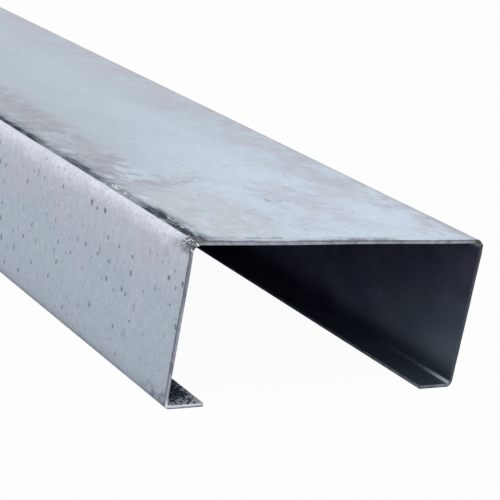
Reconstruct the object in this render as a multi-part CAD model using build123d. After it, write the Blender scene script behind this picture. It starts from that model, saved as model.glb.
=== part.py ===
from build123d import *
import os

# One length of lipped C-section, cold-formed from a single strip of galvanised steel sheet.
# Going round the section, the strip is a lip, a flange, the web, a flange and a lip, with a bend
# between each two. Web, flanges and lips are flat, and the wall is one thickness all the way.
# The piece lies with its web up and its open side down, on the outer faces of its two lips.
# X runs across the web, Y along the length and Z up. The origin is the middle of its footprint.

# Driving dimensions in millimetres. The section's sizes are over the outer faces.
web_width = 89.0                # from one flange's outer face to the other's
flange_depth = 41.0             # from the web's outer face to the lips' outer faces
lip_length = 11.0               # from a flange's outer face to its lip's free edge
sheet_thickness = 0.95          # the steel with its zinc
web_bend_inside_radius = 1.6    # between the web and each flange
lip_bend_inside_radius = 0.8    # between each flange and its lip, folded tighter
stock_length = 2400.0           # cut square at both ends


def bent_strip_line():
    """The strip's outer face seen from the end, from one lip's free edge round to the other's."""
    flange_face = web_width / 2
    lip_edge = flange_face - lip_length
    corners = [
        (-lip_edge, 0),
        (-flange_face, 0),
        (-flange_face, flange_depth),
        (flange_face, flange_depth),
        (flange_face, 0),
        (lip_edge, 0),
    ]
    web_bend = web_bend_inside_radius + sheet_thickness
    lip_bend = lip_bend_inside_radius + sheet_thickness
    return FilletPolyline(*corners, radius=[lip_bend, web_bend, web_bend, lip_bend])


def c_channel():
    """The section's wall, thickened inwards from its outer face, run out to the stock length."""
    with BuildPart() as channel:
        with BuildSketch(Plane.XZ):
            with BuildLine():
                outer_face = bent_strip_line()
                offset(outer_face, amount=sheet_thickness, side=Side.RIGHT)
            make_face()
        extrude(amount=stock_length / 2, both=True)
    return channel.part


os.makedirs("parts", exist_ok=True)

channel = c_channel()
channel.label = "c_channel"
export_step(channel, "parts/c_channel.step")

size = channel.bounding_box().size
print(f"c_channel: {size.X:.2f} x {size.Y:.2f} x {size.Z:.2f} mm, volume {channel.volume:.0f} mm3")
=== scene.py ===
# %% [markdown]
# A length of galvanised lipped channel
#
# The object is one strip of galvanised steel sheet, folded by rollers into a C: lip, flange, web,
# flange, lip. It lies web up on a pale floor, as it would be stored. The packed model is loaded
# first and stays where it is. This script models the same strip once more, with finer bends, worn
# ends and the slight waves of thin sheet, and gives it the finish that handling has left on it.

# %% Load the packed model
import math
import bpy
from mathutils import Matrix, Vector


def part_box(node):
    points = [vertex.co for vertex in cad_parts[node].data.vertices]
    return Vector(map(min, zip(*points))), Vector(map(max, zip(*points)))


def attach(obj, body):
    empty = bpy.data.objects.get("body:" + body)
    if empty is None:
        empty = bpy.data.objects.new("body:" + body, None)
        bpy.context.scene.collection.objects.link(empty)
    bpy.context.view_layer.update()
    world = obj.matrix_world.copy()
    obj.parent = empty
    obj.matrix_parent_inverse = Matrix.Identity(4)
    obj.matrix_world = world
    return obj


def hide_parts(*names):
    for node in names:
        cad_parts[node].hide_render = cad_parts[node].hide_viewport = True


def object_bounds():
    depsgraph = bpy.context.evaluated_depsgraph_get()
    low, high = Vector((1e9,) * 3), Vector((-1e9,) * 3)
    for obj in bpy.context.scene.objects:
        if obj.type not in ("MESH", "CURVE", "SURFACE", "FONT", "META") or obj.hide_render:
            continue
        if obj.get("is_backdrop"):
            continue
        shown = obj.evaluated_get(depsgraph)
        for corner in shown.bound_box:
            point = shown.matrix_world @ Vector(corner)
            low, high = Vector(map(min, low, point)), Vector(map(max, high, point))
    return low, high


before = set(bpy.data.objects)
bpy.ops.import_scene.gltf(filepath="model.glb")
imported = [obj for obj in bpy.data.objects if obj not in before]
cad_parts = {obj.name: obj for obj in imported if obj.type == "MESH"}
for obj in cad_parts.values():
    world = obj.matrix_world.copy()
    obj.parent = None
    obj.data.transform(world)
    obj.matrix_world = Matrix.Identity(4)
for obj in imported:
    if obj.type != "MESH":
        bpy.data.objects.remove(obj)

from types import SimpleNamespace

import bmesh
import bpy
from mathutils import Matrix, Vector, noise

cad_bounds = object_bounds()
MM = 0.001
print("packed nodes:", sorted(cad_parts))

# %% [markdown]
# The sizes
#
# What the frame can tell is read from it: the section's width and height and the stock's length.
# The rest belongs to the sheet: its thickness, the lips and the radius of each kind of bend. The
# radii are those of the outer skin, which is what gets folded below.

# %% Sizes of the section, in metres
low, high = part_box("c_channel")
web_width = high.x - low.x
flange_depth = high.z - low.z
stock_length = high.y - low.y
side = web_width / 2
half_length = stock_length / 2
lip_length = 11.0 * MM
sheet_thickness = 0.95 * MM
web_bend = 1.6 * MM + sheet_thickness
lip_bend = 0.8 * MM + sheet_thickness
print(f"section {web_width / MM:.1f} x {flange_depth / MM:.1f} mm, length {stock_length:.2f} m")

# %% [markdown]
# Choosing edges in code
#
# By hand you would click an edge. In a script you describe it: the two helpers below open a piece
# in edit mode with nothing selected, and select the edges whose ends pass a test.


# %% Helpers for edit mode
def edit(piece):
    """Opens one piece in edit mode, with nothing selected."""
    bpy.ops.object.select_all(action="DESELECT")
    bpy.context.view_layer.objects.active = piece
    piece.select_set(True)
    bpy.ops.object.mode_set(mode="EDIT")
    bpy.ops.mesh.select_mode(type="EDGE")
    bpy.ops.mesh.select_all(action="DESELECT")


def select_edges(piece, wanted):
    """Selects the edges whose two corners pass the test together."""
    bpy.ops.mesh.select_all(action="DESELECT")
    mesh = bmesh.from_edit_mesh(piece.data)
    for edge in mesh.edges:
        edge.select_set(wanted(edge.verts[0].co, edge.verts[1].co))
    bmesh.update_edit_mesh(piece.data)


close_enough = 0.01 * MM


def same(value, target):
    """Whether two measures are the same, near enough."""
    return abs(value - target) < close_enough


print(f"two places count as the same within {close_enough / MM} mm")

# %% [markdown]
# Folding the strip
#
# The real strip starts flat and is folded along four lines. Here a plane is the web, its long
# edges are extruded down as flanges, and the flanges' edges inwards as lips. A box with its inside
# cut out would reach the same shape, but a single skin is easier to round and to cut, and one
# modifier adds the wall afterwards.

# %% The web, with the flanges and lips folded off it
bpy.ops.object.select_all(action="DESELECT")
bpy.ops.mesh.primitive_plane_add(size=1, location=(0, 0, flange_depth))
channel = bpy.context.object
channel.name = "galvanised_channel"
channel.scale = (web_width, stock_length, 1)
bpy.ops.object.transform_apply(location=True, rotation=True, scale=True)

edit(channel)
for hand in (-1, 1):
    select_edges(channel, lambda a, b: same(a.x, hand * side) and same(b.x, hand * side))
    bpy.ops.mesh.extrude_region_move(TRANSFORM_OT_translate={"value": (0, 0, -flange_depth)})
    bpy.ops.mesh.extrude_region_move(TRANSFORM_OT_translate={"value": (-hand * lip_length, 0, 0)})
print(f"folded skin: {len(bmesh.from_edit_mesh(channel.data).faces)} faces")

# %% [markdown]
# The bends
#
# A roller leaves each fold as part of a cylinder. The bevel operator turns a sharp fold into just
# that, and on a right angle its width is the radius. The folds beside the web are rounder than
# those at the lips, so the two kinds are bevelled one after the other.

# %% Round the four folds
bend_segments = 10


def fold_at(height):
    """A test for the sharp folds that run along the strip at one height."""
    return lambda a, b: (same(a.x, b.x) and same(abs(a.x), side)
                         and same(a.z, height) and same(b.z, height))


for height, radius in ((flange_depth, web_bend), (0, lip_bend)):
    select_edges(channel, fold_at(height))
    bpy.ops.mesh.bevel(offset=radius, segments=bend_segments, affect="EDGES")
print(f"with round bends: {len(bmesh.from_edit_mesh(channel.data).faces)} faces")

# %% [markdown]
# Cutting the skin into small fields
#
# Thin sheet is never quite flat and a sheared end is never quite straight, and both need corners
# that can be moved. Rows of edges are added across the flats, then the strip is bisected along
# its length: about every half millimetre near the two cut ends, and ever more widely between.

# %% Divide the flats, and cut the length
flat_pitch = 1.6 * MM
flats = (
    (lambda a, b: same(a.z, flange_depth) and same(b.z, flange_depth),
     web_width - 2 * web_bend),
    (lambda a, b: same(abs(a.x), side) and same(abs(b.x), side),
     flange_depth - web_bend - lip_bend),
    (lambda a, b: same(a.z, 0) and same(b.z, 0),
     lip_length - lip_bend),
)
for on_flat, width in flats:
    select_edges(channel, lambda a, b: on_flat(a, b) and same(a.y, b.y))
    bpy.ops.mesh.subdivide_edgering(number_cuts=round(width / flat_pitch), interpolation="LINEAR")

worn_length = 9 * MM
first_step, growth, widest_step = 0.45 * MM, 1.3, 24 * MM
cuts = []
step, from_end = first_step, first_step
while from_end < half_length:
    cuts += [from_end - half_length, half_length - from_end]
    if from_end > worn_length:
        step = min(step * growth, widest_step)
    from_end += step
for cut in sorted(cuts):
    bpy.ops.mesh.select_all(action="SELECT")
    bpy.ops.mesh.bisect(plane_co=(0, cut, 0), plane_no=(0, 1, 0))
bpy.ops.mesh.select_all(action="SELECT")
bpy.ops.mesh.normals_make_consistent(inside=False)
bpy.ops.object.mode_set(mode="OBJECT")
print(f"{len(cuts)} cuts along the length, {len(channel.data.polygons)} fields")

# %% [markdown]
# Waves, sheared ends and battered corners
#
# Roll-formed sheet keeps a shallow wave in its flats, which shows only as a slow change in what it
# reflects. A press shears the strip to length, so the ends are ragged by up to a tenth of a
# millimetre, and where a web bend meets the end the zinc is battered into grains. All three are
# made by moving corners by smooth noise, which gives the same result on each run. The lips stay
# flat, because they are what the piece rests on.

# %% How far the noise moves a corner
wave_height, wave_across, wave_along = 0.22 * MM, 34 * MM, 150 * MM
ragged, ragged_pitch, ragged_reach = 0.1 * MM, 1.9 * MM, 0.1 * MM
batter_depth, batter_pitch, batter_length = 0.16 * MM, 0.9 * MM, 7 * MM


def wave(co):
    """How far the sheet bows out of its flat at a corner."""
    height = noise.noise(Vector((co.x / wave_across, co.y / wave_along, co.z / wave_across)))
    above_lips = min(1, max(0, (co.z - lip_bend) / (flange_depth / 2)))
    return height * wave_height * above_lips


def batter(co):
    """How far the zinc is dented or raised beside the end of a web bend."""
    off_bend = math.hypot(side - abs(co.x), flange_depth - co.z) - web_bend
    near_bend = min(1, max(0, 1 - off_bend / web_bend))
    near_end = max(0, 1 - (half_length - abs(co.y)) / batter_length)
    return noise.noise(co / batter_pitch) * batter_depth * near_bend * near_end


print(f"the middle of the web moves {wave(Vector((0, 0, flange_depth))) / MM:.3f} mm")

# %% Move the corners
channel.data.update()
facing = [vertex.normal.copy() for vertex in channel.data.vertices]
farthest = 0
for vertex, outward in zip(channel.data.vertices, facing):
    co = vertex.co.copy()
    vertex.co += outward * (wave(co) + batter(co))
    if half_length - abs(co.y) < ragged_reach:
        tooth = noise.noise(Vector((co.x / ragged_pitch, co.z / ragged_pitch, co.y)))
        vertex.co.y -= math.copysign(ragged * abs(tooth), co.y)
    farthest = max(farthest, (vertex.co - co).length)
print(f"{len(facing)} corners moved, the farthest by {farthest / MM:.2f} mm")

# %% [markdown]
# The wall
#
# Solidify adds the wall inwards from the skin, one thickness all round, so each bend's inside
# radius shares its centre with the outside one. It also gives the inner skin and the rim their
# own material slots, because the weathered outside, the shaded inside and the bare sheared edges
# look different. A fine bevel takes the sharpness off the sheared edges, and only there, because
# its angle limit passes over the gentle steps of the bends.

# %% Thicken the skin and ease the sheared edges
OUTER, INNER, SHEARED = range(3)
for name in ("outer_zinc", "inner_zinc", "sheared_edge"):
    channel.data.materials.append(bpy.data.materials.new(name))

edge_round, edge_segments = 0.12 * MM, 2
sheared_angle, smooth_angle = math.radians(50), math.radians(35)
wall = channel.modifiers.new("wall", "SOLIDIFY")
wall.thickness = sheet_thickness
wall.offset = -1
wall.use_even_offset = True
wall.material_offset = INNER
wall.material_offset_rim = SHEARED
easing = channel.modifiers.new("easing", "BEVEL")
easing.width = edge_round
easing.segments = edge_segments
easing.limit_method = "ANGLE"
easing.angle_limit = sheared_angle
easing.material = SHEARED
for modifier in ("wall", "easing"):
    bpy.ops.object.modifier_apply(modifier=modifier)
bpy.ops.object.shade_smooth_by_angle(angle=smooth_angle)
triangles = sum(len(face.vertices) - 2 for face in channel.data.polygons)
print(f"finished strip: {triangles} triangles, size {[round(s, 4) for s in channel.dimensions]}")

# %% [markdown]
# Shader maths
#
# The finish is worked out from where a point is on the strip. A small class wraps a socket, so
# that a sum or a product of two signals is written as plain Python and adds its own Math node.
# Colours go through Mix and Vector Math nodes, because a Math node would turn them grey.


# %% A signal that can be added, multiplied and masked
class Signal:
    """What comes out of one socket of a material. Its operators add Math nodes."""

    def __init__(self, socket):
        self.socket = socket

    @staticmethod
    def make(tree, kind, settings, sockets, out=0):
        """Adds any node to a tree: its settings first, then its sockets' values or links."""
        node = tree.nodes.new("ShaderNode" + kind)
        for name, value in settings.items():
            setattr(node, name, value)
        for name, value in sockets.items():
            if isinstance(value, Signal):
                tree.links.new(value.socket, node.inputs[name])
            else:
                node.inputs[name].default_value = value
        return Signal(node.outputs[out])

    def add(self, kind, settings, sockets, out=0):
        """Adds a node to the tree that this signal belongs to."""
        return Signal.make(self.socket.id_data, kind, settings, sockets, out)

    def math(self, operation, first, second=0.0):
        """Adds a Math node for two values, each a signal or a number."""
        return self.add("Math", {"operation": operation}, {0: first, 1: second})

    def __add__(self, other):
        return self.math("ADD", self, other)

    __radd__ = __add__

    def __sub__(self, other):
        return self.math("SUBTRACT", self, other)

    def __rsub__(self, other):
        return self.math("SUBTRACT", other, self)

    def __mul__(self, other):
        return self.math("MULTIPLY", self, other)

    __rmul__ = __mul__

    def __abs__(self):
        return self.math("ABSOLUTE", self)

    def over(self, other):
        """The larger of two signals."""
        return self.math("MAXIMUM", self, other)

    def under(self, other):
        """The smaller of two signals."""
        return self.math("MINIMUM", self, other)

    def rise(self, start, end):
        """0 below start, 1 above end, and a smooth step between them."""
        settings = {"interpolation_type": "SMOOTHSTEP"}
        return self.add("MapRange", settings, {"Value": self, "From Min": start, "From Max": end})

    def fall(self, start, end):
        """1 below start and 0 above end."""
        return 1 - self.rise(start, end)

    def band(self, start, end, soft):
        """1 from start to end, fading outside them."""
        return self.rise(start - soft, start) * self.fall(end, end + soft)

    def swing(self, by):
        """Noise about 0.5 as a push either way, of up to half this much."""
        return (self - 0.5) * by

    def contour(self, level, line, soft):
        """Thin lines where noise crosses a level, like the height lines on a map."""
        return abs(self - level).fall(line, line + soft)

    def scaled(self, x, y, z):
        """A place with each of its coordinates multiplied."""
        return self.add("VectorMath", {"operation": "MULTIPLY"}, {0: self, 1: (x, y, z)})

    def noise(self, size, detail=4.0, roughness=0.55, distortion=0.0):
        """Cloudy noise about 0.5, with spots of about this size, at this place on the sheet."""
        sockets = {"Vector": self, "Scale": 1 / size, "Detail": detail,
                   "Roughness": roughness, "Distortion": distortion}
        return self.add("TexNoise", {"noise_dimensions": "2D"}, sockets)

    def tint(self, under, over):
        """Two colours mixed by this mask: under where it is 0, and over where it is 1."""
        return self.add("Mix", {"data_type": "RGBA"}, {0: self, 6: under, 7: over}, out=2)

    def brightened(self, by):
        """This colour times a number that may vary."""
        return self.add("VectorMath", {"operation": "SCALE"}, {0: self, "Scale": by})


own_steps = [name for name in vars(Signal) if not name.startswith("_")]
print("a signal's own steps:", ", ".join(own_steps))


# %% A colour as the shader works with it
def linear(red, green, blue):
    """A colour given as 0 to 255 on a screen, as the light that a shader works with."""
    def light(value):
        value /= 255
        return value / 12.92 if value <= 0.04045 else ((value + 0.055) / 1.055) ** 2.4
    return (light(red), light(green), light(blue), 1.0)


print(f"a screen's middle grey, 128, is {linear(128, 128, 128)[0]:.3f} as light")

# %% [markdown]
# A place on the unfolded sheet
#
# Marks were left on the zinc before and after it was folded, and they run on round the bends. So
# patterns are laid out on the sheet as if it were flat again: one coordinate goes round the
# section and the other along the length, both in millimetres. Wear and painted light depend on
# three more numbers: the distance from the nearer cut end, how many degrees round a web bend a
# point is, and whether it is on the left, the side with the scrapes, the deepest stains and the
# painted dark reflection. Marks beside a bend are placed from the section's own top and outside,
# so that they keep to it.


# %% Open a material and find the place on the sheet
top, outside = flange_depth / MM, side / MM
bend_x, bend_z = (side - web_bend) / MM, (flange_depth - web_bend) / MM
left_fades = (-30, -20)


def open_metal(slot):
    """The Principled node of one of the channel's materials, and where a point of it lies."""
    material = channel.data.materials[slot]
    material.use_nodes = True
    tree = material.node_tree
    metres = Signal.make(tree, "TexCoord", {}, {}, out="Object")
    place = metres.scaled(1 / MM, 1 / MM, 1 / MM)
    x, y, z = (place.add("SeparateXYZ", {}, {0: place}, out) for out in range(3))
    across = abs(x)
    around = x + x.math("SIGN", x) * (top - z)
    strip = SimpleNamespace(
        x=x, z=z, across=across,
        turn=x.math("ARCTAN2", across - bend_x, z - bend_z) * math.degrees(1),
        sheet=x.add("CombineXYZ", {}, {0: around, 1: y}),
        from_cut=half_length / MM - abs(y),
        left=x.fall(*left_fades),
    )
    return tree.nodes["Principled BSDF"], strip


def grown(shader, what):
    """Prints how many nodes a material has, once this is in it."""
    print(f"{what}: {len(shader.id_data.nodes)} nodes")


print(f"the web's bends turn about x {bend_x:.2f} and z {bend_z:.2f} mm")

# %% [markdown]
# The outer zinc: the web
#
# Seen close, galvanised sheet is a pale blue-grey. It could be one grey with a little noise, but
# this piece has been stored and handled: the web clouds into mauve along both sides, deepest and
# with darker rims beside the left bend. Its fall from palest and bluest near the cut to greyer
# along its length is painted light. Near the cut lie thin grey strokes and a film that turns the
# blue a little olive.
# The clouds are masks from noise, and their rims and the strokes are contour lines of it. A few
# sizes of noise are shared by all marks below, so that they seem to belong to one surface.

# %% Noise that the outer marks share
shader, strip = open_metal(OUTER)
sheet, from_cut, turn, left = strip.sheet, strip.from_cut, strip.turn, strip.left
slow = sheet.noise(75, detail=2)
cloud = sheet.noise(17, detail=3, roughness=0.5)
mottle = sheet.noise(5, detail=5, roughness=0.6)
fine = sheet.noise(2, detail=4, roughness=0.75)
grain = sheet.noise(0.9, detail=3, roughness=0.7)
grown(shader, "noise of five sizes")

# %% The web's blues
PALE_BLUE, GREY_BLUE = linear(197, 212, 229), linear(166, 180, 192)
# Painted light: the web fades from palest near the cut to greyer along its length. It is greyer
# still on its left side beyond 35 to 85 mm from the cut, and a slow noise varies the tone.
painted_fade_and_tone = from_cut.rise(10, 150) * 0.7 + from_cut.rise(120, 300) * 0.2 + slow.swing(0.7) + 0.05
painted_fade_and_tone = painted_fade_and_tone + strip.x.fall(-30, 12) * from_cut.rise(35, 85) * 0.35
web = painted_fade_and_tone.tint(PALE_BLUE, GREY_BLUE)
grown(shader, "the web's blues")

# %% Mauve clouds on the web
MAUVE, DEEP_MAUVE = linear(178, 179, 192), linear(146, 149, 161)
patchy = mottle * 0.45 + cloud * 0.55
handled = strip.across.rise(12, 36).over(from_cut.band(14, 48, soft=14) * 0.65)
stain = patchy.rise(0.36, 0.66) * handled
web = stain.tint(web, MAUVE)
stored = strip.across.rise(11, 25) * from_cut.rise(18, 55) * (left * 0.85 + 0.15)
web = (patchy.rise(0.36, 0.57) * stored * 0.8).tint(web, DEEP_MAUVE)
grown(shader, "mauve clouds")

# %% Darker rims, thin strokes and an olive film
RIM, OLIVE = linear(116, 122, 132), linear(184, 193, 198)
hairline = {"line": 0.004, "soft": 0.012}
rims = patchy.contour(0.46, **hairline) * stored * left
strokes = sheet.scaled(0.6, 1, 1).noise(9, detail=3, distortion=0.8).contour(0.5, **hairline)
strokes = strokes * cloud.rise(0.46, 0.58) * from_cut.fall(50, 90) * strip.x.fall(12, 30)
web = (rims * 0.45).over(strokes * 0.4).tint(web, RIM)

film = sheet.noise(22, detail=4, roughness=0.6).rise(0.48, 0.68) * 0.4
film = film.over(from_cut.band(8, 34, soft=10) * strip.x.band(-38, -18, soft=8) * 0.9)
web = (film * mottle.rise(0.3, 0.6)).tint(web, OLIVE)
grown(shader, "rims, strokes and film")

# %% [markdown]
# The outer zinc: the flanges
#
# The flanges go from lavender at the top to blue-grey at the floor, with a few pinker clouds; the
# change is partly the zinc's tint and partly painted shading, lighter at the top and darker at the
# foot. The bend's own angle tells web from flange, because a height or a width alone would leave a
# hard step in the middle of the bend. On the web's right side a thin mauve line runs beside the
# bend.
# Over the web's bends a painted highlight runs as a bright line, uneven and with short drips.

# %% The flanges
LAVENDER, PINKISH = linear(186, 191, 203), linear(186, 184, 198)
FLANGE_BLUE, FLANGE_LOW_SHADE = linear(170, 181, 193), linear(165, 175, 187)
# Partly the zinc's tint and partly painted shading: lighter at the top, darker towards the floor.
flange = strip.z.rise(22, 38).tint(FLANGE_BLUE, LAVENDER)
flange = strip.z.fall(0, 20).tint(flange, FLANGE_LOW_SHADE)
flange = (cloud.rise(0.48, 0.66) * strip.z.rise(10, 30) * 0.55).tint(flange, PINKISH)
web = (strip.x.rise(outside - 3.3, outside - 2.1) * 0.6).tint(web, DEEP_MAUVE)
body = turn.rise(25, 60).tint(web, flange)
grown(shader, "flanges")

# %% The painted highlight over the web's bends
# Painted highlight: a bright, uneven line over each web bend and the top of the flange below it.
PAINTED_BEND_HIGHLIGHT = linear(228, 232, 242)
highlight_depth = 5.6
drips = sheet.scaled(0.22, 1, 1).noise(1.3, detail=3)
lowered = strip.z + drips.swing(1.2) + mottle.swing(3) + grain.swing(2) + from_cut.rise(35, 65)
highlight_ridge = turn.rise(24, 34) * lowered.rise(top - highlight_depth, top - 0.2)
body = (highlight_ridge * (cloud.rise(0.3, 0.6) * 0.2 + 0.6)).tint(body, PAINTED_BEND_HIGHLIGHT)
pits = sheet.noise(0.7, detail=1).fall(0.3, 0.38) * highlight_ridge * from_cut.fall(35, 80)
body = (pits * 0.5).tint(body, DEEP_MAUVE)
grown(shader, f"bright line down to {highlight_depth} mm below the web")

# %% [markdown]
# The painted dark reflection on the bend
#
# A painted dark reflection with a grey-blue edge runs along the web's side of the left bend, and
# scraped curls of bare metal cross it. The dark line is a mask round the bend whose edge wanders
# with the shared noise, and a noise stretched along the strip streaks it. The curls are contour
# lines of another, which run on like scratches, where spots of noise would look like dust.

# %% Where the painted dark reflection lies on the bend
reflection_start = outside - 5.3
reflection_fades, reflection_end = 21, 28
strong = from_cut.band(3, 24, soft=7).over(from_cut.band(88, 132, soft=9))
strong = strong.over(from_cut.band(54, 64, soft=8) * 0.7)
strong = strong.over(slow.rise(0.4, 0.6) * from_cut.rise(130, 160) * 0.8)
streaks = sheet.scaled(1, 0.3, 1).noise(1.3, detail=3).rise(0.36, 0.62)
reach = strip.across + cloud.swing(2) + mottle.swing(3.5)
reach = reach - from_cut.rise(22, 34) * 0.8 - from_cut.rise(60, 100) * 0.6
grown(shader, f"rubbed from x {reflection_start:.1f} mm to {reflection_end} degrees round the bend")

# %% The dark line and its edge
# Painted reflection: a dark line round the web's side of the left bend, faint on the right bend,
# with a grey-blue edge on the left.
PAINTED_DARK_REFLECTION, REFLECTION_EDGE_TINT = linear(12, 30, 48), linear(108, 130, 144)
reflection_edge = reach.rise(reflection_start - 2.8, reflection_start + 0.6) * turn.fall(reflection_fades, reflection_end) * left
reflection_edge = reflection_edge * (streaks * 0.5 + 0.3) * (1 - from_cut.band(24, 80, soft=6) * 0.4)
body = reflection_edge.tint(body, REFLECTION_EDGE_TINT)
dark_reflection = (turn - from_cut.rise(40, 90) * 8).fall(reflection_fades, reflection_end)
dark_reflection = reach.rise(reflection_start, reflection_start + 2) * dark_reflection
dark_reflection = dark_reflection * (strong * 0.65 + 0.35) * (left * 0.88 + 0.12) * (streaks * 0.3 + 0.75)
body = dark_reflection.under(1).tint(body, PAINTED_DARK_REFLECTION)
grown(shader, "dark line and its edge")

# %% The scrapes across the dark line
SCRAPED = linear(236, 240, 246)
scraped_to = 46
lines = sheet.scaled(1, 0.4, 1).noise(2.4, detail=1, distortion=1.5)
lines = lines.contour(0.5, line=0.006, soft=0.016)
scuffed = from_cut.band(28, scraped_to, soft=4).over(from_cut.band(5, 17, soft=3))
scuffed = sheet.noise(9, detail=1).rise(0.36, 0.44) * scuffed * left
scraped = lines * scuffed * strip.across.rise(outside - 5.9, outside - 4.9) * turn.fall(30, 40)
body = (scraped * 0.7).tint(body, SCRAPED)
grown(shader, f"scrapes up to about {scraped_to} mm from the cut")

# %% [markdown]
# Specks
#
# The flanges are peppered with small dark specks, taller than wide, and larger faint ones. Spots
# could come from noise, but Voronoi cells give one spot a cell, whose size and presence are drawn
# from the cell's own colour. A few of the same specks lie on the web near the cut.

# %% A helper that scatters specks
speck_unevenness, speck_softness, barely = 1.4, (-0.12, 0.18), 0.01


def specks(sheet, wander, spacing, smallest, largest, share):
    """Spots of mixed sizes, with uneven outlines, in this share of the sheet's cells."""
    settings = {"voronoi_dimensions": "2D"}
    sockets = {"Vector": sheet, "Scale": 1 / spacing}
    away = sheet.add("TexVoronoi", settings, sockets, "Distance") * spacing
    lot = sheet.add("TexVoronoi", settings, sockets, "Color")
    size_lot, place_lot = (lot.add("SeparateColor", {}, {0: lot}, out) for out in ("Red", "Green"))
    radius = size_lot * size_lot * (largest - smallest) + smallest
    away = away + wander.swing(largest * speck_unevenness)
    return (radius - away).rise(*speck_softness) * place_lot.fall(share, share + barely)


speck_size, speck_spacing, speck_share = 0.58, 3.6, 0.52
in_a_square_cm = speck_share / (speck_spacing / 10) ** 2
print(f"dark specks: about {in_a_square_cm:.0f} in a square centimetre")

# %% Specks on the flanges and on the web
SPECK, FAINT_SPECK = linear(100, 108, 121), linear(136, 143, 156)
on_flange = turn.rise(60, 95)
wander = sheet.noise(1.1, detail=2)
narrower, taller = 1.08, 0.72
upright = sheet.scaled(taller, narrower, 1)
dark = specks(upright, wander, speck_spacing, smallest=0.1, largest=speck_size, share=speck_share)
dark = dark * on_flange
faint = specks(upright, wander, 6.0, smallest=0.25, largest=0.95, share=0.75) * on_flange
body = (faint * 0.5).tint(body, FAINT_SPECK)
body = (dark * 0.8).tint(body, SPECK)
flecks = specks(sheet, wander, 4.0, smallest=0.1, largest=0.5, share=0.35)
flecks = flecks * from_cut.band(22, 60, soft=10) * strip.across.fall(24, 38)
body = (flecks * 0.5).tint(body, SPECK)
grown(shader, f"dark specks about {2 * speck_size / taller:.1f} mm tall at most")

# %% [markdown]
# Grit and grime at the cut
#
# The shear leaves dirt behind: coarse grit of black and bare grains on the corner where the bend
# is cut, a dark smear and a grimy foot on the flange, and a thin uneven line along the web's cut.
# All are masks of how far a point is from the cut, so the far end gets them too.

# %% Grit on the corner, a smear and a grimy foot on the flange
GRIT_DARK, GRIT_LIGHT = linear(52, 51, 50), linear(226, 226, 229)
grit_reach = 7.5
grit = sheet.noise(0.6, detail=1)
corner = from_cut.fall(3, grit_reach) * turn.rise(2, 20) * strip.z.rise(top - 2.6, top - 1.2)
black = (grit + from_cut.fall(0, 5) * 0.08).rise(0.44, 0.54)
body = (corner * black * 0.9).tint(body, GRIT_DARK)
body = (corner * grit.fall(0.36, 0.44)).tint(body, GRIT_LIGHT)

smear = from_cut.fall(3, 11) * strip.z.rise(top - 4.8, top - 2.6) * turn.rise(45, 70)
smear = smear * fine.rise(0.36, 0.58)
foot = from_cut.fall(3, 16) * strip.z.fall(1.5, 6) * sheet.noise(1.8, detail=3).rise(0.42, 0.58)
body = (smear.over(foot) * 0.7).tint(body, SPECK)
grown(shader, f"grit within {grit_reach} mm of the cut")

# %% The grimy line along the web's cut
CUT_GRIME = linear(92, 93, 99)
grime_reach = 3.6
near_side = strip.x.fall(8, 18) * turn.fall(70, 90) * 0.8 + 0.2
uneven_cut = from_cut + (mottle.swing(3) + grain.swing(2)) * near_side
cut_line = uneven_cut.fall(0.2, near_side * 0.9 + 0.3)
cut_line = cut_line.over(uneven_cut.fall(0.8, 3.4) * near_side * 0.3)
grimy = cut_line * (cloud.rise(0.34, 0.5) * 0.5 + 0.5)
body = (grimy * 0.85).tint(body, CUT_GRIME)

dashes = from_cut.band(2.3, 2.9, soft=0.5) * strip.x.fall(-20, -8)
dashes = dashes * sheet.noise(1.6, detail=2).rise(0.44, 0.56)
blotch = from_cut.fall(1.2, grime_reach) * strip.x.band(3, 18, soft=5) * fine.rise(0.36, 0.6)
loose_grime = dashes.over(blotch) * near_side.rise(0.2, 0.4) * turn.fall(10, 30)
body = (loose_grime * 0.6).tint(body, CUT_GRIME)
grown(shader, f"grime within {grime_reach} mm of the web's cut")

# %% [markdown]
# Tone, gloss and relief of the outer zinc
#
# The colour so far is too clean, so every size of noise makes it a little lighter or darker, and
# the flanges get faint upright streaks. Dirt doesn't shine like metal, so Metallic drops where
# the zinc is covered, and also under the painted dark reflection on the bend. Roughness wanders
# with the mottle, which breaks up the sky's reflection on the web. The relief is only hundredths
# of a millimetre: grain everywhere, grains of grit on the corner and slight pits at the specks.


# %% Helpers for the shader's sockets
def feed(shader, **sockets):
    """Links signals to the shader's sockets, and sets plain numbers on them."""
    for name, value in sockets.items():
        socket = shader.inputs[name.replace("_", " ")]
        if isinstance(value, Signal):
            shader.id_data.links.new(value.socket, socket)
        else:
            socket.default_value = value


relief_depth, relief_strength = 0.03, 0.6


def relief(height, depth=relief_depth):
    """A bump from a height signal, this many millimetres deep."""
    sockets = {"Height": height, "Distance": depth * MM, "Strength": relief_strength}
    return height.add("Bump", {}, sockets)


print(f"relief {relief_depth} mm deep")

# %% Finish of the outside
bare = 1 - dark_reflection.over(corner * 0.6).over(grimy * 0.5).over(dark * 0.5)
bare = bare.over(scraped * 0.8)
upright_streaks = sheet.scaled(0.2, 1, 1).noise(0.9, detail=2) * on_flange
tone = grain.swing(0.2) + fine.swing(0.34) + mottle.swing(0.2) + cloud.swing(0.1) + 1
tone = tone + (upright_streaks - on_flange * 0.5) * 0.16
body = body.brightened(tone)
roughness = mottle.swing(0.2) + stain * 0.08 + 0.38 - scraped * 0.12 + dark_reflection * 0.1
height = grain * 0.4 + grit * corner * 2 - dark * 0.5
feed(shader, Base_Color=body, Metallic=bare, Roughness=roughness, Specular_IOR_Level=0.1,
     Normal=relief(height))
grown(shader, "outer zinc, finished")

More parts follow.
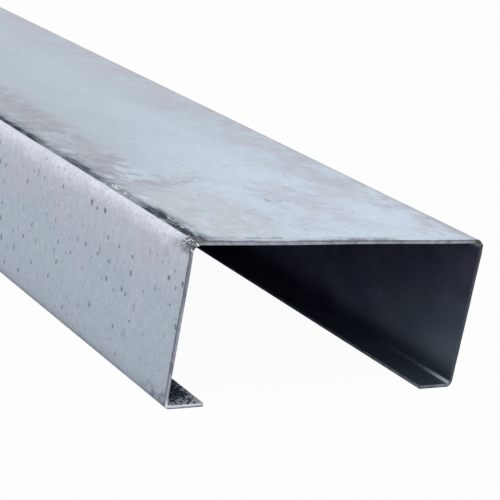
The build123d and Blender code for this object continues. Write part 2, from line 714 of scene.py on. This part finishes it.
# %% [markdown]
# The inside
#
# Little light gets into the channel, and what the inner zinc shows is mostly its own dark
# reflection. Its blue-grey is darker than the outside's, which is painted shade; low in the mouth
# it turns greener, a painted reflection of the floor, and along the bottom it is darker still,
# painted shade. The shear has thrown crumbs of zinc on the left lip, thickest along its free edge,
# and a painted highlight runs along the inside of the lips' folds, fading away from the cut. A few
# pale specks lie on the rest, and at the mouth a painted highlight lies inside the web's bends.
# All of it is made as on the outside.

# %% Colours of the inside
# Painted shade: the inside's blue-greys are darker than the outside's.
INNER_DARK, INNER_LIGHT = linear(152, 158, 184), linear(168, 173, 195)
TEAL_FLOOR_REFLECTION, INNER_LOW_SHADE = linear(146, 163, 176), linear(112, 124, 138)
shader, strip = open_metal(INNER)
sheet, from_cut, left = strip.sheet, strip.from_cut, strip.left
cloud = sheet.noise(11, detail=4)
grain = sheet.noise(0.9, detail=3, roughness=0.7)
inside = cloud.rise(0.35, 0.65).tint(INNER_DARK, INNER_LIGHT)
# Painted reflection of the floor: greener low down, within about 60 mm of the cut.
inside = (from_cut.fall(10, 60) * strip.z.fall(16, 26) * 0.85).tint(inside, TEAL_FLOOR_REFLECTION)
# Painted shade: darker along the bottom of the inside.
inside = (strip.z.fall(3, 9) * 0.45).tint(inside, INNER_LOW_SHADE)
grown(shader, "inner zinc, colours of the flats")

# %% Crumbs on the lip, pale specks, and a painted highlight inside the web bends
PALE_CRUMB_AND_HIGHLIGHT = linear(236, 240, 246)
lip_edge = outside - lip_length / MM
free_edge = strip.across.fall(lip_edge + 0.5, lip_edge + 3)
worn = (from_cut.fall(0, 7) * 0.15 + free_edge * 0.16 - from_cut * 0.006) * left
crumbs = (sheet.noise(0.9, detail=4, roughness=0.6) + worn).rise(0.5, 0.74)
crumbs = crumbs * strip.z.fall(1.2, 1.8) * from_cut.fall(6, 30) * (left * 0.9 + 0.1)
inside = (crumbs * 0.8).tint(inside, PALE_CRUMB_AND_HIGHLIGHT)
wander = sheet.noise(1.1, detail=2)
pale = specks(sheet, wander, 8, smallest=0.15, largest=0.5, share=0.6)
inside = (pale * 0.35).tint(inside, PALE_CRUMB_AND_HIGHLIGHT)
# Painted highlight: the insides of the web's bends lightened close to the cut, and made less
# metallic.
glow = from_cut.fall(0.5, 8) * strip.turn.band(25, 65, soft=20) * strip.z.rise(top - 6, top - 3)
inside = (glow * 0.3).tint(inside, PALE_CRUMB_AND_HIGHLIGHT)
grown(shader, "crumbs, specks and glow")

# %% The painted highlight in the lips' folds, and the finish of the inside
# Painted highlight: a pale line along the inside of the lips' folds, fading away from the cut, and
# made less metallic.
FOLD_HIGHLIGHT = linear(232, 237, 242)
fold_start = (side - lip_bend - sheet_thickness) / MM
fold = (strip.across - strip.z).rise(fold_start + 0.05, fold_start + 0.2)
fold = fold * (from_cut.fall(0, 14) * 0.72 + from_cut.fall(8, 40) * 0.1)
inside = fold.tint(inside, FOLD_HIGHLIGHT)
inside = inside.brightened(grain.swing(0.2) + cloud.swing(0.2) + 1)
bare = 1 - fold.over(crumbs * 0.8).over(glow * 0.5)
feed(shader, Base_Color=inside, Metallic=bare, Roughness=0.4, Normal=relief(grain * 0.4 + crumbs))
grown(shader, "inner zinc, finished")

# %% [markdown]
# The sheared edges
#
# A press cuts the strip, and the cut shows bare steel: a grey strip with a darker burr on the
# side where the blade came through. On the left lip it is bright, and down the right flange and
# lip it is painted darker as shade, with olive patches near the top. The depth below the outer
# skin tells burr from strip.

# %% Strip and burr
STRIP, PALE_STRIP, LIP_STRIP = linear(141, 145, 157), linear(160, 164, 175), linear(218, 223, 233)
BURR = linear(108, 109, 118)
shader, strip = open_metal(SHEARED)
left = strip.left
at_end = strip.from_cut.fall(0.3, 0.8)
depth = (outside - strip.across).under(top - strip.z).under(strip.z)
patch = strip.sheet.noise(3.5, detail=5, roughness=0.7)
edge = patch.rise(0.4, 0.62).tint(STRIP, PALE_STRIP)
edge = (depth + patch.swing(0.5)).fall(0.12, 0.28).tint(edge, BURR)
edge = (patch.fall(0.34, 0.46) * 0.55).tint(edge, BURR)
edge = (left * strip.z.fall(1.4, 3) * depth.rise(0.25, 0.45) * at_end).tint(edge, LIP_STRIP)
edge = (left * strip.z.band(27, 36, soft=4) * at_end * 0.6).tint(edge, BURR)
grown(shader, "sheared edge, strip and burr")

# %% Painted shade on the right, grit on the left corner, and the finish of the edges
# Painted shade: the cut edges of the right flange and lip darkened, the lip's a little less; olive
# patches at the top of the right flange.
SHADED, OILY = linear(74, 77, 83), linear(74, 76, 70)
shaded = strip.x.rise(32, 33) * strip.z.fall(top - 2.4, top - 0.8) * at_end
shaded = shaded * (strip.z.rise(0.9, 2) * 0.6 + 0.4)
edge = shaded.tint(edge, SHADED)
oily = strip.x.rise(40, 42) * strip.z.rise(top - 4, top - 2.4) * patch.rise(0.3, 0.5) * at_end
edge = oily.tint(edge, OILY)
corner = strip.across.rise(40, 42) * strip.z.rise(top - 3.5, top - 1.5) * left
grit = strip.sheet.noise(0.6, detail=1)
edge = (corner * grit.rise(0.48, 0.58)).tint(edge, GRIT_DARK)
edge = (corner * grit.fall(0.36, 0.46)).tint(edge, GRIT_LIGHT)
grain = strip.sheet.noise(0.5, detail=2)
edge = edge.brightened(grain.swing(0.3) + patch.swing(0.3) + 1)
roughness = patch.swing(0.3) + 0.42
feed(shader, Base_Color=edge, Metallic=1.0, Roughness=roughness, Normal=relief(patch, depth=0.05))
grown(shader, "sheared edge, finished")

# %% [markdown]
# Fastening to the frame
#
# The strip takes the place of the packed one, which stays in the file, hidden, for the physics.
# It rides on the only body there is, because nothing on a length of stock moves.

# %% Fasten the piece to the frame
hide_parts("c_channel")
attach(channel, "root")
print(f"{channel.name} stands for c_channel and rides on root")

# %% [markdown]
# The floor
#
# The piece lies on a white studio floor. A white floor could be made with more light, but that
# would bleach the zinc, so the camera and the mirrored rays see a glowing floor instead, and only
# the light that bounces off it is real. Under the channel the mirrored glow is left out: there is
# no light in that tunnel, and its walls should mirror the dark.

# %% The floor
floor_size = 24.0
bpy.ops.object.select_all(action="DESELECT")
bpy.ops.mesh.primitive_plane_add(size=floor_size, location=(0, 0, 0))
floor = bpy.context.object
floor.name = "floor"
pale_floor = bpy.data.materials.new("pale_floor")
pale_floor.use_nodes = True
floor.data.materials.append(pale_floor)
floor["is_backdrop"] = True
print(f"floor {floor_size:.0f} m square")


# %% Its white for the camera and for mirrored rays
def light_path(tree, ray):
    """1 for the rays of one kind, such as those that the camera sees directly."""
    return Signal.make(tree, "LightPath", {}, {}, out=ray)


FLOOR_GREY, floor_glow, glow_starts = (0.86, 0.86, 0.86, 1), 0.96, 5 * MM
tree = pale_floor.node_tree
tree.nodes.remove(tree.nodes["Principled BSDF"])
metres = Signal.make(tree, "TexCoord", {}, {}, out="Object")
out_x = abs(metres.add("SeparateXYZ", {}, {0: metres}, 0)) - side
out_y = abs(metres.add("SeparateXYZ", {}, {0: metres}, 1)) - half_length
open_floor = out_x.over(out_y).rise(0, glow_starts)
mirrored = light_path(tree, "Is Glossy Ray").over(light_path(tree, "Is Transmission Ray"))
seen = light_path(tree, "Is Camera Ray").over(mirrored * open_floor)
matt = seen.add("BsdfDiffuse", {}, {"Color": FLOOR_GREY})
white = seen.add("Emission", {}, {})
surface = seen.add("MixShader", {}, {0: seen * floor_glow, 1: matt, 2: white})
tree.links.new(surface.socket, tree.nodes["Material Output"].inputs["Surface"])
print(f"floor material: {len(tree.nodes)} nodes")

# %% [markdown]
# Light
#
# A plain studio: an even sky, white where it is seen or mirrored and about half as strong as a
# light, and one large soft lamp high on the left, in front. More lamps would draw hard streaks
# down the flat sides, which the real sheet doesn't show.

# %% The sky
world = bpy.data.worlds.new("studio")
bpy.context.scene.world = world
world.use_nodes = True
tree = world.node_tree
background = tree.nodes["Background"]
seen = light_path(tree, "Is Camera Ray").over(light_path(tree, "Is Glossy Ray"))
seen = seen.over(light_path(tree, "Is Transmission Ray"))
sky_light = 0.55
strength = seen * (1 - sky_light) + sky_light
tree.links.new(strength.socket, background.inputs["Strength"])
background.inputs["Color"].default_value = (1, 1, 1, 1)
print(f"sky: 1.0 where seen, {sky_light} as light")

# %% The soft lamp
lamp_place, lamp_aim = Vector((-1.0, -2.2, 2.6)), Vector((0, -1.1, 0))
bpy.ops.object.light_add(type="AREA", location=lamp_place)
lamp = bpy.context.object
lamp_watts, lamp_width = 30, 2.5
lamp.data.energy = lamp_watts
lamp.data.size = lamp_width
lamp.rotation_euler = (lamp_aim - lamp_place).to_track_quat("-Z", "Y").to_euler()
lamp_distance = (lamp_aim - lamp_place).length
print(f"lamp of {lamp_watts} W, {lamp_distance:.1f} m from the near end")

# %% [markdown]
# The camera
#
# The picture looks down the piece from close to its near end, past the left flange, with a long
# lens. The place, the three turns and the lens were fitted to the section's edges and corners,
# which lie within about three pixels of the photograph's. The view transform is Standard, so a
# colour renders about as it is written.

# %% The camera
camera_place = Vector((-223.12, -1466.85, 132.56)) * MM
heading, tilt, roll = 36.107, 15.824, 10.638
sensor_mm, lens_mm = 36, 107.503
clip_near, clip_far = 0.01, 100
camera_data = bpy.data.cameras.new("camera")
camera_data.sensor_width = sensor_mm
camera_data.lens = lens_mm
camera_data.clip_start = clip_near
camera_data.clip_end = clip_far
camera = bpy.data.objects.new("camera", camera_data)
bpy.context.scene.collection.objects.link(camera)
turn_right = Matrix.Rotation(math.radians(-heading), 4, "Z")
nod = Matrix.Rotation(math.radians(90 - tilt), 4, "X")
lean = Matrix.Rotation(math.radians(roll), 4, "Z")
camera.matrix_world = Matrix.Translation(camera_place) @ turn_right @ nod @ lean
bpy.context.scene.camera = camera
bpy.context.scene.view_settings.view_transform = "Standard"
corner_place = Vector((-side, -half_length, flange_depth))
print(f"camera {(corner_place - camera_place).length:.2f} m from the near corner")

# %% [markdown]
# The sizes, side by side
#
# The dressed piece has to be the size of the packed one. Both boxes are written down, and the
# difference should be no more than the waves and grains that were added.

# %% Print both sizes, and finish
visual_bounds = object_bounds()
for which, (box_low, box_high) in (("packed", cad_bounds), ("dressed", visual_bounds)):
    print(which, [round((b - a) / MM, 2) for a, b in zip(box_low, box_high)], "mm")
